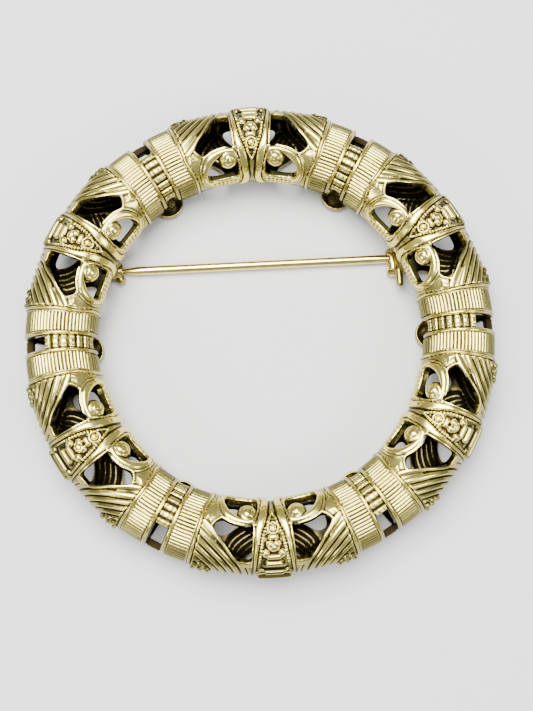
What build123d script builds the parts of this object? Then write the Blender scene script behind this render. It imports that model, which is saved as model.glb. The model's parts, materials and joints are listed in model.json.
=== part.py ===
from build123d import *
import os
from math import cos, degrees, radians, sin, sqrt

# A circle pin: a hollow tube of pierced, stamped metal bent into a ring, in a front and
# a back half. Six keystone panels and six reeded barrels alternate round it, with
# scrollwork and fans of ribs between them. A hinged pin stem crosses the open middle.
# Millimetres. The ring lies on its back with its front towards +Z, and the origin is
# under its middle, on the surface that it lies on.
#
# Places on the tube are two angles in degrees: `along` the ring, from the middle of a
# panel, and `around` the tube: 0 outside, 90 front, 180 inside.

# Ring
ring_radius = 17.0            # middle of the ring to the tube's centre line
bore_radius = 2.55            # centre line to the inside of the wall
seam_gap = 0.06               # left between the two halves
repeats = 6                   # panels, and as many barrels

# Ends of the zones along the ring, from the middle of a barrel
ladder_end = 1.9
inner_collar_end = 3.2
band_end = 8.4
outer_collar_end = 9.9
panel_start = 24.8

# Outside of the zones, from the tube's centre line
ladder_radius = 2.95
ladder_depth = 0.15
inner_collar_radius = 3.12
band_radius = 3.06
flute_depth = 0.12
outer_collar_radius = 3.22
fan_radius = 3.08
panel_radius = 3.12

# Raised work, from the tube's centre line
rib_radius = 3.24
scroll_radius = 3.36
rail_radius = 3.35
bar_radius = 3.42
lug_radius = 3.2
rib_width = 0.30
rib_count = 5
rib_collar_around = 104.0     # where the first rib leaves the collar
rib_collar_step = 13.5
rib_foot_along = 6.9          # where the first rib meets the outside of the ring
rib_foot_step = 1.8
rib_bend = 2.4                # how sharply the ribs turn towards the collar
rib_flare = 1.2               # share by which a rib is wider at the collar
back_rib_count = 5            # curved ribs between the two openings of the back
back_rib_width = 0.24
ball_radius = 0.68
ball_sink = 0.42              # depth of the ball's middle under the top of the scroll
bead_radius = 0.34
bead_sink = 0.08              # depth of a bead's middle under the top of the ribs

# Repeats around half of the tube
flutes_per_half = 30
rungs_per_half = 12
window_edge = 69.0            # where the ladder starts and the window at the outside ends
bridge_edge = 22.0            # the strip that closes the outside of the back's windows ends

# Rounded foot under the inside of each barrel
foot_radius = 1.3
foot_thick = 0.75
foot_dish = 0.5               # depth of its hollow
foot_lip = 0.2
foot_reach = 3.35             # its inner edge to the tube's centre line
foot_stand = 0.15             # its underside over the surface

# Pin, hinge and catch
pin_offset = 7.0              # pin line to the ring's middle
wire_radius = 0.385
tip_radius = 0.12
taper_length = 2.2
knuckle_radius = 0.55
knuckle_length = 1.5
knuckle_shift = 0.35          # the knuckle's middle lies this far off the pin line
stem_start = 0.42             # from the hinge's axis to the end of the stem
neck_length = 0.4             # where the wire swells a little towards the knuckle
neck_radius = 0.41
rivet_radius = 0.27
rivet_fit = 0.05              # running clearance in the knuckle, on the radius
ear_fit = 0.03                # clearance of the rivet in the ears, on the radius
ear_radius = 0.6
ear_thick = 0.3
side_gap = 0.06               # between the knuckle and an ear
rivet_head_radius = 0.43
rivet_head = 0.15
head_gap = 0.03
wall_gap = 0.3                # from the knuckle to the raised rails of the ring
web_gap = 0.15                # from the knuckle to the web that joins the ears
arm_length = 2.6
solder_radius = 2.9           # how deep the findings stand in the wall
tail_radius = 0.33            # rounded lug beside the bracket
tail_length = 1.0
tail_out = 0.38               # its middle from the hinge's axis
tail_up = 0.88
catch_x = 11.75               # its near face to the ring's middle
catch_width = 1.5
catch_length = 1.1
catch_height = 1.15
catch_fit = 0.06              # clearance between the tip and the catch, on the radius
mouth_fit = 0.04              # the same, at the catch's mouth
tip_gap = 0.2                 # from the point of the pin to the catch's far face
tab_radius = 0.42

# Values that follow from the ones above
twelfth = 180.0 / repeats
back_reach = rail_radius + seam_gap / 2
foot_bottom = foot_stand - back_reach
pin_drop = back_reach - ear_radius
stand = rail_radius + wall_gap + knuckle_radius
hinge_y = pin_offset - knuckle_shift
hinge_x = sqrt((ring_radius - sqrt(stand ** 2 - pin_drop ** 2)) ** 2 - hinge_y ** 2)
arm_span = sqrt(ring_radius ** 2 - hinge_y ** 2) - hinge_x
arm_x = arm_span / sqrt(arm_span ** 2 + pin_drop ** 2)
arm_z = pin_drop / sqrt(arm_span ** 2 + pin_drop ** 2)
entry_radius = tip_radius + (wire_radius - tip_radius) * (catch_length - tip_gap) / taper_length
past = 0.6                    # how far a cutter runs past what it cuts


def on_tube(place, around, radius):
    """Return the point at an angle from +X, an angle around and a distance from the line."""
    reach = ring_radius + radius * cos(radians(around))
    side = radians(place)
    return Vector(reach * cos(side), reach * sin(side), radius * sin(radians(around)))


def stretch(outer_edges, start, end, first=0.0, last=180.0):
    """Return a wall between an outline and the bore, from start to end along the ring."""
    inner = ThreePointArc(*[on_tube(0, a, bore_radius) for a in (last, (first + last) / 2, first)])
    closing = [Line(outer_edges[-1] @ 1, inner @ 0), Line(inner @ 1, outer_edges[0] @ 0)]
    section = Face(Wire(outer_edges + [closing[0], inner, closing[1]]))
    return revolve(section, Axis.Z, end - start).rotate(Axis.Z, start)


def zone(start, end, radius, last=180.0):
    """Return a smooth stretch of the front half of the tube, as far around as last."""
    arc = ThreePointArc(*[on_tube(0, a, radius) for a in (0, last / 2, last)])
    return stretch([arc], start, end, last=last)


def fluted_zone(start, end, radius, depth, count, first=0.0):
    """Return a stretch whose outside has this many raised flutes around the half."""
    step = (180.0 - first) / (2 * count)
    tops = [on_tube(0, first + i * step, radius - depth * (i % 2 == 0)) for i in range(2 * count + 1)]
    return stretch([Line(a, b) for a, b in zip(tops, tops[1:])], start, end, first)


def column(outline, along, around):
    """Return a straight column over an outline, pointing away from the centre line.

    The outline is a list of (along, around) pairs, and the column points out of the tube
    at the place that the last two values give.
    """
    side = radians(twelfth - along)
    foot = on_tube(twelfth - along, around, 0)
    outwards = on_tube(twelfth - along, around, 1) - foot
    plane = Plane(origin=foot, x_dir=(-sin(side), cos(side), 0), z_dir=outwards)
    corners = [plane.to_local_coords(on_tube(twelfth - a, b, fan_radius)) for a, b in outline]
    flat = Polyline(*[(corner.X, corner.Y) for corner in corners], close=True)
    return plane * extrude(make_face(flat), bar_radius + past)


def raised(outline, along, around, top):
    """Return what stands over an outline between the wall's middle and a radius."""
    low = (bore_radius + fan_radius) / 2
    ring = [ThreePointArc(*[on_tube(0, a, radius) for a in angles])
            for radius, angles in ((top, (0, 90, 180)), (low, (180, 90, 0)))]
    ends = [Line(ring[0] @ 1, ring[1] @ 0), Line(ring[1] @ 1, ring[0] @ 0)]
    skin = revolve(Face(Wire([ring[0], ends[0], ring[1], ends[1]])), Axis.Z, twelfth)
    return skin & column(outline, along, around)


def rib_outline(index):
    """Return the curved strip of one rib, which leaves the collar and sweeps outwards."""
    collar_along = twelfth - outer_collar_end
    collar_around = rib_collar_around - rib_collar_step * index
    foot_along = rib_foot_along + rib_foot_step * index
    half = degrees(rib_width / 2 / ring_radius)
    left, right = [], []
    for share in (0.05, 0.4, 0.7, 0.88, 1.0):
        middle = foot_along + (collar_along - foot_along) * share ** rib_bend
        lean = half * (1.0 + rib_flare * share)
        left.append((middle - lean, collar_around * share))
        right.append((middle + lean, collar_around * share))
    return left + right[::-1]


# Outlines on the tube, as (along, around)
opening = [(5.7, 51), (9.2, 51), (12.9, 75), (16.6, 94), (16.8, 101), (14.8, 111),
           (11.6, 106), (8.5, 104), (5.7, 105)]
scroll = [(4.6, 104), (8.5, 103.5), (11.9, 105.5), (14.8, 111), (16.8, 123), (17.6, 137),
          (17.6, 152), (16.4, 167), (13.5, 176), (6.0, 176), (3.6, 160), (3.6, 140), (4.2, 122)]
eye = [(4.5, 137), (4.4, 147), (5.4, 155), (7.8, 158.5), (12.2, 158.5), (14.6, 155),
       (15.2, 148), (14.6, 139), (13.2, 129), (10.9, 120.5), (8.4, 117.5), (6.0, 118.5)]
rail = [(5.2, 3), (5.2, 60), (5.0, 104), (4.4, 122), (3.9, 140), (3.2, 162), (0.7, 162),
        (0.9, 135), (1.4, 120), (2.3, 105), (3.2, 90), (4.0, 60), (4.3, 30), (4.4, 3)]
lug = [(5.0, 40), (9.0, 40), (9.0, 50), (5.0, 50)]
# The back half has an opening across the middle of each panel and one on either side
middle_opening = [(-1, 35), (5.6, 36), (6.9, 40), (7.0, 48), (6.3, 57), (5.0, 66), (3.2, 73), (-1, 78)]
side_opening = [(9.6, 110), (11.4, 100), (12.9, 91.5), (14.6, 88), (16.5, 93), (17.0, 106), (16.7, 122),
                (15.5, 137), (13.2, 147), (10.6, 147), (9.0, 137), (8.8, 122)]
back_rib = [(8.4, 42), (7.75, 53.5), (6.6, 64), (5.0, 73.5), (3.0, 82)]
back_rib_shift = [(1.0, 6.5), (1.12, 6.0), (1.25, 5.5), (1.28, 5.5), (1.3, 5.5)]
# The arched window at the inside of a barrel, as (from the barrel's middle, around)
front_arch = [(-1, 158), (0, 158), (2.1, 168), (3.5, 184), (-1, 184)]
back_arch = [(-1, 184), (3.5, 184), (4.5, 156), (4.7, 133), (3.7, 117), (-1, 115)]
# Bars up the middle of a panel, as half width along, middle and half width around, radius
bars = [(4.1, 7, 5, bar_radius), (3.3, 33, 5, bar_radius), (2.2, 50, 4, bar_radius),
        (2.5, 66, 4.5, rail_radius), (1.6, 80, 3.5, rail_radius), (1.4, 92, 3.5, rail_radius),
        (1.2, 104, 5.5, rail_radius)]
ball_place = (7.65, 123.5)
# The places on the tube that the columns over the outlines point away from
opening_faces = (10, 80)
scroll_faces = (9.5, 140)
rail_faces = (3, 85)
lug_faces = (7, 45)
rib_faces = (13, 52)
middle_opening_faces = (0, 57)
side_opening_faces = (13, 117)
back_rib_faces = (8, 70)
front_arch_faces = 172
back_arch_faces = 150
bead_places = [(18.7, 54), (18.0, 43), (17.0, 32), (15.9, 20)]


def knob(along, around, depth, radius):
    """Return a ball whose middle lies at a depth, given as a distance from the line."""
    side = radians(twelfth - along)
    middle = on_tube(twelfth - along, around, depth)
    outwards = middle - on_tube(twelfth - along, around, 0)
    return Plane(origin=middle, x_dir=(-sin(side), cos(side), 0), z_dir=outwards) * Sphere(radius)


def bar(half, middle, spread, top):
    """Return one half of a raised bar across the middle of a panel."""
    box = [(-1, middle - spread), (half, middle - spread), (half, middle + spread), (-1, middle + spread)]
    return raised(box, 0, middle, top)


def back_rib_outline(index):
    """Return the curved strip of one rib between the openings of the back."""
    half = degrees(back_rib_width / 2 / ring_radius)
    line = [(along + index * step, around + index * turn)
            for (along, around), (step, turn) in zip(back_rib, back_rib_shift)]
    return [(along - half, around) for along, around in line] + [
        (along + half, around) for along, around in reversed(line)]


def twelfth_with(relief):
    """Return a half of the tube from a barrel's middle to a panel's middle, with its relief."""
    return fluted_zone(0, ladder_end, ladder_radius, ladder_depth, rungs_per_half, window_edge).fuse(
        zone(ladder_end, inner_collar_end, inner_collar_radius),
        fluted_zone(inner_collar_end, band_end, band_radius, flute_depth, flutes_per_half),
        zone(band_end, outer_collar_end, outer_collar_radius),
        zone(outer_collar_end, panel_start, fan_radius),
        zone(panel_start, twelfth, panel_radius),
        *relief,
    )


def front_twelfth():
    """Return a twelfth of the front: a fan of ribs, a rail, a scroll and the panel's bars."""
    relief = [raised(rib_outline(index), *rib_faces, rib_radius) for index in range(rib_count)]
    relief += [bar(*sizes) for sizes in bars]
    relief += [raised(scroll, *scroll_faces, scroll_radius), raised(rail, *rail_faces, rail_radius),
               raised(lug, *lug_faces, lug_radius)]
    body = twelfth_with(relief).cut(column(opening, *opening_faces), column(eye, *scroll_faces),
                                    arch_cutter(front_arch, front_arch_faces))
    beads = [knob(along, around, rib_radius - bead_sink, bead_radius) for along, around in bead_places]
    return body.fuse(knob(*ball_place, scroll_radius - ball_sink, ball_radius), *beads)


def back_twelfth():
    """Return a twelfth of the back, which is plain but for its ribs, as if it were a front."""
    relief = [raised(rib_outline(index), *rib_faces, rib_radius) for index in range(1, rib_count)]
    relief += [raised(back_rib_outline(index), *back_rib_faces, rib_radius)
               for index in range(back_rib_count)]
    relief += [bar(*bars[0]), zone(0, ladder_end, ladder_radius, bridge_edge)]
    return twelfth_with(relief).cut(column(middle_opening, *middle_opening_faces),
                                    column(side_opening, *side_opening_faces),
                                    arch_cutter(back_arch, back_arch_faces))


def arch_cutter(outline, around):
    """Return the cutter of one half of the arched window inside a barrel."""
    return column([(twelfth - a, b) for a, b in outline], twelfth, around)


def whole_half(piece):
    """Return a half ring made from one twelfth and its mirror image, repeated."""
    side = radians(twelfth)
    mirrored = piece.mirror(Plane(origin=(0, 0, 0), z_dir=(sin(side), -cos(side), 0)))
    copies = []
    for index in range(repeats):
        copies.append(piece.rotate(Axis.Z, 2 * twelfth * index))
        copies.append(mirrored.rotate(Axis.Z, 2 * twelfth * index))
    return copies[0].fuse(*copies[1:])


def foot():
    """Return the round dished foot under the inside of one barrel."""
    middle = ring_radius - foot_reach + foot_radius
    disc = Pos(middle, 0, foot_bottom + foot_thick / 2) * Cylinder(foot_radius, foot_thick)
    hollow = Pos(middle, 0, foot_bottom + foot_thick) * Cylinder(foot_radius - foot_lip, 2 * foot_dish)
    return disc - hollow


def slab(corners, start, end):
    """Return a plate that spans from one y to another over corners given as (x, z)."""
    plane = Plane(origin=(0, start, 0), x_dir=(1, 0, 0), z_dir=(0, 1, 0))
    flat = Polyline(*[(x, -z) for x, z in corners], close=True)
    return plane * extrude(make_face(flat), end - start)


def rod(x, z, radius, start, end):
    """Return a round bar parallel to Y."""
    return Pos(x, (start + end) / 2, z) * Rot(90, 0, 0) * Cylinder(radius, end - start)


def arm(near, far, half, start, end):
    """Return a block that runs from the hinge's axis towards the tube's centre line."""
    corners = [(hinge_x + along * arm_x - across * arm_z, -pin_drop + along * arm_z + across * arm_x)
               for along, across in ((near, -half), (far, -half), (far, half), (near, half))]
    return slab(corners, start, end)


def bracket():
    """Return the two ears of the hinge, the web that joins them and the lug beside them."""
    inner_face = knuckle_length / 2 + side_gap
    outer_face = inner_face + ear_thick
    body = arm(knuckle_radius + web_gap, arm_length, ear_radius, hinge_y - inner_face - ear_thick / 2,
               hinge_y + inner_face + ear_thick / 2)
    for start, end in ((-outer_face, -inner_face), (inner_face, outer_face)):
        body = body.fuse(arm(0, arm_length, ear_radius, hinge_y + start, hinge_y + end),
                         rod(hinge_x, -pin_drop, ear_radius, hinge_y + start, hinge_y + end))
    tail_x, tail_z = hinge_x + tail_out, tail_up - pin_drop
    tail_end = hinge_y - outer_face - tail_length
    body = body.fuse(rod(tail_x, tail_z, tail_radius, tail_end, hinge_y - inner_face),
                     Pos(tail_x, tail_end, tail_z) * Sphere(tail_radius))
    bore = rod(hinge_x, -pin_drop, rivet_radius + ear_fit, hinge_y - outer_face - past,
               hinge_y + outer_face + past)
    return body - bore - Torus(ring_radius, solder_radius)


def catch():
    """Return the block that holds the tip of the pin, open downwards, with its thumb tab."""
    top, bottom = catch_height - ear_radius - pin_drop, -back_reach
    near, far = -catch_x, -catch_x - catch_length
    wall_x = sqrt(ring_radius ** 2 - pin_offset ** 2)
    start, end = pin_offset - catch_width / 2, pin_offset + catch_width / 2
    body = slab([(near, bottom), (far, bottom), (far, bottom + ear_radius), (-wall_x, -bore_radius / 2),
                 (-wall_x, 0), (near, top)], start, end)
    tab = Pos(near - tab_radius / 2, start, top - tab_radius) * Sphere(tab_radius)
    room = entry_radius + catch_fit
    middle, reach = near - catch_length / 2, catch_length + past
    channel = Pos(middle, pin_offset, -pin_drop) * Rot(0, 90, 0) * Cylinder(room, reach)
    mouth = Pos(middle, pin_offset, bottom - past / 2) * Box(
        reach, 2 * (entry_radius + mouth_fit), 2 * (ear_radius + past / 2))
    return body.fuse(tab) - channel - mouth - Torus(ring_radius, solder_radius)


def pin_stem():
    """Return the stem with its knuckle at one end and its tapered point at the other."""
    shaft_end = -(catch_x + catch_length - tip_gap)
    taper_start = shaft_end + taper_length
    neck_start, neck_end = hinge_x - stem_start - neck_length, hinge_x - stem_start
    half = [Line((neck_end, 0), (neck_end, neck_radius)),
            Line((neck_end, neck_radius), (neck_start, wire_radius)),
            Line((neck_start, wire_radius), (taper_start, wire_radius)),
            Line((taper_start, wire_radius), (shaft_end + tip_radius, tip_radius)),
            ThreePointArc((shaft_end + tip_radius, tip_radius),
                          (shaft_end + tip_radius * (1 - sqrt(0.5)), tip_radius * sqrt(0.5)), (shaft_end, 0)),
            Line((shaft_end, 0), (neck_end, 0))]
    wire = Pos(0, pin_offset, -pin_drop) * revolve(make_face(Wire(half)), Axis.X)
    start, end = hinge_y - knuckle_length / 2, hinge_y + knuckle_length / 2
    knuckle = rod(hinge_x, -pin_drop, knuckle_radius, start, end)
    return knuckle.fuse(wire) - rod(hinge_x, -pin_drop, rivet_radius + rivet_fit, start - past, end + past)


def hinge_rivet():
    """Return the rivet through the ears and the knuckle, with a flat head at each end."""
    face = knuckle_length / 2 + side_gap + ear_thick + head_gap
    shank = rod(hinge_x, -pin_drop, rivet_radius, hinge_y - face, hinge_y + face)
    return shank.fuse(rod(hinge_x, -pin_drop, rivet_head_radius, hinge_y - face - rivet_head, hinge_y - face),
                      rod(hinge_x, -pin_drop, rivet_head_radius, hinge_y + face, hinge_y + face + rivet_head))


def build():
    """Return every part of the brooch, by name, in its place on the surface."""
    front = whole_half(front_twelfth()).moved(Location((0, 0, seam_gap / 2)))
    back = whole_half(back_twelfth()).mirror(Plane.XY).moved(Location((0, 0, -seam_gap / 2)))
    feet = [foot().rotate(Axis.Z, 2 * twelfth * index) for index in range(repeats)]
    back = back.fuse(*feet, bracket(), catch())
    lift = Location((0, 0, back_reach))
    return {"front_shell": front.moved(lift), "back_shell": back.moved(lift),
            "pin_stem": pin_stem().moved(lift), "hinge_rivet": hinge_rivet().moved(lift)}


if __name__ == "__main__":
    os.makedirs("parts", exist_ok=True)
    for name, part in build().items():
        export_step(part, f"parts/{name}.step", write_pcurves=False)
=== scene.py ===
"""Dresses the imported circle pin: a ring of pierced, plated metal with a hinged pin stem.

The ring is a tube bent into a circle. A place on it is two angles in degrees: `along`, from
the middle of a keystone panel to the middle of the next barrel, and `around` the tube, 0
outside, 90 in front and 180 inside. Its relief is a height over those two angles, worked out
as whole numpy arrays, in millimetres. Meshes are in metres, in the frame of the CAD model.
"""

import json
import logging
import math
from dataclasses import dataclass
from enum import Enum

import bmesh
import bpy
import numpy as np
from mathutils import Matrix, Vector


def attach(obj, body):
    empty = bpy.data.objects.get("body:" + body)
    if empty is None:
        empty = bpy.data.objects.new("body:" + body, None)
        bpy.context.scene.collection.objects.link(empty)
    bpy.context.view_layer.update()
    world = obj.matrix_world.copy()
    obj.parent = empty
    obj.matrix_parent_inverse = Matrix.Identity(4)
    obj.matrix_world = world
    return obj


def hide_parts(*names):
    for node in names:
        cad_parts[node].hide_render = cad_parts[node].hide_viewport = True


log = logging.getLogger("circle_pin")
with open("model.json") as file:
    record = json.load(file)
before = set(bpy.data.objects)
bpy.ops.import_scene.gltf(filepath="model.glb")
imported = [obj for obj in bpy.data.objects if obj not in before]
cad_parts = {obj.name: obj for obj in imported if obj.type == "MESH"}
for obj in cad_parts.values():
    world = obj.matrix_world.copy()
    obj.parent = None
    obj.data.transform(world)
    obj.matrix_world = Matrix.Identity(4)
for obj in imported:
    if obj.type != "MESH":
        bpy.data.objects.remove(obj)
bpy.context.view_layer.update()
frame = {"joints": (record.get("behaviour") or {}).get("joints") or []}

MM = 0.001
SIXTH = 60.0
TWELFTH = 30.0
LIFT = 3.38  # middle plane of the ring above the surface it lies on

Grid = np.ndarray  # a value at each place of the tube
Pair = tuple[float, float]
Triple = tuple[float, float, float]
Bar = tuple[float, float, float, float, float]
Skin = tuple[np.ndarray, np.ndarray]  # points in mm, and faces as rows of four corner numbers


class Half(Enum):
    """Which half of the tube, and the way that its front faces."""

    FRONT = 1.0
    BACK = -1.0


@dataclass(frozen=True)
class TubeSizes:
    """The tube in mm, and the ends of its zones in degrees, as in the solids.

    The ladder, the band and the collars end so far from the barrel's middle, and the panel
    from its own. The window reaches so far to each side along, and so far around.
    """

    ring: float = 17.0
    skin: float = 3.08
    seam: float = 0.03
    ladder_end: float = 1.9
    inner_collar_end: float = 3.2
    band_end: float = 8.4
    outer_collar_end: float = 9.9
    panel_end: float = 5.2
    window_half: float = 1.86
    window_edge: float = 69.0


TUBE = TubeSizes()


def smooth(x: Grid) -> Grid:
    """Return 0 below 0, 1 above 1 and 3x^2 - 2x^3 between."""
    x = np.clip(x, 0.0, 1.0)
    return x * x * (3.0 - 2.0 * x)


def dome(x: Grid) -> Grid:
    """Return the height of a half round of half width 1 at x: the root of 1 - x^2."""
    return np.sqrt(np.clip(1.0 - x * x, 0.0, None))


def risen(heights: Pair, shape: Grid) -> Grid:
    """Return a shape of height 1 as it stands on its floor: floor + height shape."""
    return heights[0] + heights[1] * shape


def on_tube(along: Grid, around: Grid, radius: Grid | float) -> np.ndarray:
    """Return points of the tube, with the panel's middle on +X.

    A point stands `radius` from the centre line, which is a circle of the ring's size:
    x, y = (ring + radius cos around)(cos along, sin along), z = radius sin around.

    Args:
        along: degrees from the panel's middle.
        around: degrees around the tube.
        radius: distance from the tube's centre line, in mm.

    Returns:
        The points in mm, with x, y and z in the last axis.
    """
    a, b = np.radians(along), np.radians(around)
    reach = TUBE.ring + radius * np.cos(b)
    return np.stack([reach * np.cos(a), reach * np.sin(a), radius * np.sin(b)], axis=-1)


@dataclass(frozen=True)
class Outline:
    """A curve on the tube through (along, around) corners, closed unless `open` is set."""

    corners: tuple[Pair, ...]
    open: bool = False
    steps: int = 5

    def curve(self) -> np.ndarray:
        """Return a Catmull-Rom spline through the corners, sampled `steps` times a side.

        Returns:
            Rows of (along, around).
        """
        p = np.array(self.corners, float)
        if self.open:
            p = np.vstack([2 * p[:1] - p[1:2], p, 2 * p[-1:] - p[-2:-1]])
            p0, p1, p2, p3 = p[:-3], p[1:-2], p[2:-1], p[3:]
        else:
            p0, p1, p2, p3 = np.roll(p, 1, 0), p, np.roll(p, -1, 0), np.roll(p, -2, 0)
        t = (np.arange(self.steps) / self.steps)[:, None, None]
        points = 0.5 * (2 * p1 + (p2 - p0) * t + (2 * p0 - 5 * p1 + 4 * p2 - p3) * t ** 2
                        + (3 * p1 - p0 - 3 * p2 + p3) * t ** 3)
        points = points.transpose(1, 0, 2).reshape(-1, 2)
        return np.vstack([points, p[-2:-1]]) if self.open else points

    def distance(self, along: Grid, around: Grid) -> Grid:
        """Return each place's distance from the curve in mm, negative inside a closed one.

        The distance is the straight one in space to the nearest chord of the curve, with
        both on the skin of the tube, and the side comes from counting crossings.

        Args:
            along: degrees from the panel's middle.
            around: degrees around the tube.

        Returns:
            The distance at each place.
        """
        curve = self.curve()
        first, last = (curve[:-1], curve[1:]) if self.open else (curve, np.roll(curve, -1, 0))
        p = on_tube(along.ravel(), around.ravel(), TUBE.skin)[:, None, :].astype(np.float32)
        a = on_tube(first[:, 0], first[:, 1], TUBE.skin).astype(np.float32)
        b = on_tube(last[:, 0], last[:, 1], TUBE.skin).astype(np.float32)
        ab = b - a
        share = np.clip(((p - a) * ab).sum(-1) / np.maximum((ab * ab).sum(-1), 1e-9), 0, 1)
        gap = np.linalg.norm(p - a - share[..., None] * ab, axis=-1).min(1)
        if not self.open:
            x, y = along.ravel()[:, None], around.ravel()[:, None]
            rise = np.where(np.abs(last[:, 1] - first[:, 1]) < 1e-9, 1e-9, last[:, 1] - first[:, 1])
            crosses = ((first[:, 1] > y) != (last[:, 1] > y)) & (
                x < first[:, 0] + (y - first[:, 1]) / rise * (last[:, 0] - first[:, 0]))
            gap = np.where(crosses.sum(1) % 2 == 1, -gap, gap)
        return gap.reshape(along.shape)


def spot_distance(along: Grid, around: Grid, middle: Pair) -> Grid:
    """Return each place's straight distance in mm from one place on the skin."""
    here = on_tube(along, around, TUBE.skin)
    return np.linalg.norm(here - on_tube(np.array(middle[0]), np.array(middle[1]), TUBE.skin), axis=-1)


def block_distance(along: Grid, around: Grid, block: tuple[float, float, float, float],
                   corner: float = 0.12) -> Grid:
    """Return the distance in mm from a rounded block on the tube, negative inside.

    Args:
        along: places along the ring, in degrees.
        around: places around the tube, in degrees.
        block: its middle and half width along, and its middle and half width around.
        corner: radius of its corners in mm.

    Returns:
        The distance, with each angle turned into mm at that place.
    """
    reach = TUBE.ring + TUBE.skin * np.cos(np.radians(around))
    dx = (np.abs(along - block[0]) - block[1]) * np.radians(1) * reach + corner
    dy = (np.abs(around - block[2]) - block[3]) * np.radians(1) * TUBE.skin + corner
    outside = np.hypot(np.maximum(dx, 0), np.maximum(dy, 0))
    return outside + np.minimum(np.maximum(dx, dy), 0) - corner


@dataclass(frozen=True)
class Relief:
    """What both halves share: the barrels, the window at their outside and the fan's lines.

    A pair of heights is a floor, in mm from the tube's centre line, and how far what stands on
    it rises. A pitch is in degrees around the tube.
    """

    inside_arch: Outline
    window_start: float = -9.0
    widening: float = 0.115
    rib_feet: tuple[float, ...] = (5.1, 6.9, 8.7, 10.5, 12.3, 14.1, 15.9, 17.7, 19.5)
    rib_tops: tuple[float, ...] = (118.0, 104.0, 85.0, 73.5, 61.5, 50.0, 39.0, 28.0, 17.0)
    rib_bend: float = 2.4
    end_bar: Bar = (0.0, 4.15, 7.0, 5.0, 3.42)
    ground: float = 3.0
    bar_edge: float = 0.2
    blocks: Pair = (2.86, 0.17)
    block_pitch: float = 13.6
    block_groove: float = 0.07
    flutes: Pair = (2.92, 0.14)
    flute_pitch: float = 6.0
    inner_collar: Pair = (2.90, 0.21)
    outer_collar: Pair = (2.93, 0.29)
    collar_bead: Pair = (2.93, 0.17)

    def barrel_place(self, along: Grid, around: Grid) -> Grid:
        """Return degrees from the barrel's middle, narrowed where it widens at the inside."""
        return (TWELFTH - along) * (1.0 - self.widening * smooth((around - 108.0) / 45.0))

    def rib_number(self, along: Grid, around: Grid) -> Grid:
        """Return which rib of the fan a place is on, as a fraction counted from the panel.

        Rib n crosses the outside at foot[n] and meets the collar at top[n], along the line
        along = foot + (collar - foot)(around / top)^bend, so n is read back by interpolation.

        Args:
            along: degrees from the panel's middle.
            around: degrees around the tube.

        Returns:
            The rib's number at each place, -1 to 7.
        """
        numbers = np.linspace(-1.0, 7.0, 65)
        foot = np.interp(numbers, np.arange(-1, 8), self.rib_feet)[:, None]
        top = np.interp(numbers, np.arange(-1, 8), self.rib_tops)[:, None]
        flat = np.maximum(around.ravel(), 0.0)[None, :]
        lines = foot + (TWELFTH - TUBE.outer_collar_end - foot) * (flat / top) ** self.rib_bend
        below = (lines < along.ravel()[None, :]).sum(0)
        low = np.clip(below - 1, 0, len(numbers) - 2)
        pick = np.arange(flat.shape[1])
        span = np.maximum(lines[low + 1, pick] - lines[low, pick], 1e-6)
        share = np.clip((along.ravel() - lines[low, pick]) / span, 0.0, 1.0)
        return (numbers[low] + share * (numbers[1] - numbers[0])).reshape(along.shape)

    def bar(self, along: Grid, around: Grid, sizes: Bar) -> Grid:
        """Return a rounded bar across the panel: its middle, half widths and top."""
        gap = block_distance(along, around, sizes[:4])
        return self.ground + (sizes[4] - self.ground) * dome(1.0 + np.clip(gap / self.bar_edge, -1.0, 0.0))

    def barrel(self, along: Grid, around: Grid) -> Grid:
        """Return the barrel: a ladder of blocks, a collar, a reeded band and another collar.

        Each zone is its floor with a half round or a soft-edged block on it. The blocks have
        a groove across them, and the outer collar is a broad ridge with a bead beside it.

        Args:
            along: degrees from the panel's middle.
            around: degrees around the tube.

        Returns:
            The distance from the tube's centre line in mm, at each place.
        """
        place = self.barrel_place(along, around)
        step = np.mod(around - TUBE.window_edge, self.block_pitch) / self.block_pitch
        block = smooth(np.minimum(step, 0.72 - step) / 0.12)
        ladder = risen(self.blocks, block * smooth((TUBE.ladder_end - place) / 0.35))
        ladder -= self.block_groove * np.exp(-(((place - 0.85) / 0.16) ** 2)) * block
        flute = np.mod(around, self.flute_pitch) / (self.flute_pitch / 2) - 1
        band = risen(self.flutes, dome(flute / 0.84) ** 0.7)
        across = (place - TUBE.ladder_end) / (TUBE.inner_collar_end - TUBE.ladder_end) * 2 - 1
        inner = risen(self.inner_collar, dome(across / 0.9) ** 0.8)
        across = (place - TUBE.band_end) / (TUBE.outer_collar_end - TUBE.band_end)
        outer = np.maximum(risen(self.outer_collar, dome((across - 0.62) / 0.32) ** 0.8),
                           risen(self.collar_bead, dome((across - 0.14) / 0.12)))
        radius = np.where(place < TUBE.ladder_end, ladder, inner)
        radius = np.where(place > TUBE.inner_collar_end, band, radius)
        return np.where(place > TUBE.band_end, outer, radius)

    def window(self, along: Grid, around: Grid) -> Grid:
        """Return the distance in mm to the openings in a barrel, outside and inside.

        Args:
            along: degrees from the panel's middle.
            around: degrees around the tube.

        Returns:
            The distance at each place, negative inside an opening.
        """
        middle, half = (TUBE.window_edge + self.window_start) / 2, (TUBE.window_edge - self.window_start) / 2
        slot = block_distance(along, around, (TWELFTH, TUBE.window_half, middle, half), 0.03)
        return np.minimum(slot, self.inside_arch.distance(along, around))

    def hole(self, along: Grid, around: Grid) -> Grid:
        """Return the distance in mm to the nearest pierced opening, negative inside it."""
        return self.window(along, around)

    def radius(self, along: Grid, around: Grid) -> Grid:
        """Return the outside of the tube over the two angles, in mm.

        Args:
            along: degrees from the panel's middle, 0 to 30.
            around: degrees around the tube, 0 to 180.

        Returns:
            The distance from the centre line: the highest of the pieces that meet there.
        """
        return self.barrel(along, around)


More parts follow.
